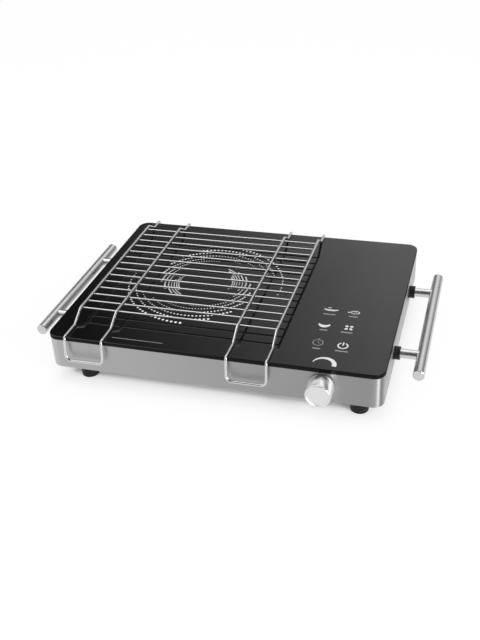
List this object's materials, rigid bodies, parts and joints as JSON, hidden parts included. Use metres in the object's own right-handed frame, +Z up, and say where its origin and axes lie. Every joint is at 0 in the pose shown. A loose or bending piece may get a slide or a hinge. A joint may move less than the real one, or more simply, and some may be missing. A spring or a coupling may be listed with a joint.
{
  "type": "infrared cooktop",
  "caption": "Low tabletop infrared cooktop: black glass plate on a steel box with side handles, a front knob, touch symbols and a wire grill rack hooked over the glass.",
  "frame": {"origin": "on the worktop, under the middle of the overall box", "axes": "+X to the user's right, +Y away from the user, +Z up"},
  "size_m": [0.4294, 0.3164, 0.0685],
  "materials": {
    "glass_ceramic": "polished black glass-ceramic",
    "seal": "matte black silicone",
    "housing_steel": "fine horizontal brushing",
    "cover_steel": "zinc-coated sheet",
    "fixing_steel": "zinc-plated screws and nuts",
    "foot_rubber": "matte black",
    "handle_steel": "satin tube and legs",
    "spacer_plastic": "black",
    "rack_wire": "bright plated wire",
    "knob_chrome": "bright side, satin face",
    "encoder_metal": "die-cast",
    "plated_brass": "machined",
    "circuit_board": "green solder mask",
    "heater_steel": "aluminised sheet",
    "insulation": "pressed insulating board",
    "ribbon_alloy": "oxidised resistance strip",
    "limiter_ceramic": "white ceramic",
    "carrier_plastic": "moulded",
    "nylon": "natural nylon",
    "relay_case": "blue case",
    "transformer_core": "varnished core and taped coil",
    "capacitor_can": "sleeved can",
    "heatsink_aluminium": "extruded fins",
    "fan_plastic": "black",
    "winding": "copper winding",
    "gland_plastic": "black nylon",
    "lead_jacket": "silicone insulation"
  },
  "bodies": {
    "cooktop": {"glass_plate": "glass_ceramic", "glass_seal": "seal", "housing": "housing_steel", "bottom_cover": "cover_steel", "cover_screws": "fixing_steel", "foot_front_left": "foot_rubber", "foot_front_right": "foot_rubber", "foot_rear_left": "foot_rubber", "foot_rear_right": "foot_rubber", "foot_screws": "fixing_steel", "foot_nuts": "fixing_steel", "handle_bar_left": "handle_steel", "bar_caps_left": "handle_steel", "handle_spacers_left": "spacer_plastic", "handle_legs_left": "handle_steel", "handle_screws_left": "fixing_steel", "handle_bar_right": "handle_steel", "bar_caps_right": "handle_steel", "handle_spacers_right": "spacer_plastic", "handle_legs_right": "handle_steel", "handle_screws_right": "fixing_steel", "encoder_body": "encoder_metal", "encoder_nut": "plated_brass", "encoder_board": "circuit_board", "heater_dish": "heater_steel", "heater_base": "insulation", "heater_ring": "insulation", "limiter_rod": "limiter_ceramic", "limiter_switch": "limiter_ceramic", "heater_springs": "fixing_steel", "heater_ribbon": "ribbon_alloy", "touch_carrier": "carrier_plastic", "touch_board": "circuit_board", "touch_contacts": "plated_brass", "board_posts": "nylon", "power_board": "circuit_board", "board_screws": "fixing_steel", "relay": "relay_case", "transformer": "transformer_core", "capacitor": "capacitor_can", "heatsink": "heatsink_aluminium", "plug_block": "nylon", "fan_frame": "fan_plastic", "fan_stator": "winding", "fan_screws": "fixing_steel", "gland_body": "gland_plastic", "gland_nut": "gland_plastic", "terminal_block": "nylon", "mains_leads": "lead_jacket", "heater_leads": "lead_jacket"},
    "knob": {"knob": "knob_chrome", "encoder_shaft": "encoder_metal"},
    "fan": {"fan_rotor": "fan_plastic"},
    "rack": {"rack_frame_left": "rack_wire", "rack_frame_right": "rack_wire", "rack_crossbars": "rack_wire"}
  },
  "joints": [
    {"name": "knob_turn", "type": "hinge", "parent": "cooktop", "child": "knob", "pos_m": [0.1185, -0.148, 0.0364], "axis": [0, 1, 0], "continuous": true},
    {"name": "fan_spin", "type": "hinge", "parent": "cooktop", "child": "fan", "pos_m": [0.14, 0.0886, 0.025], "axis": [0, 0, 1], "continuous": true},
    {"name": "rack_lift", "type": "slide", "parent": "cooktop", "child": "rack", "axis": [0, 0, 1], "range_m": [0, 0.08]}
  ]
}
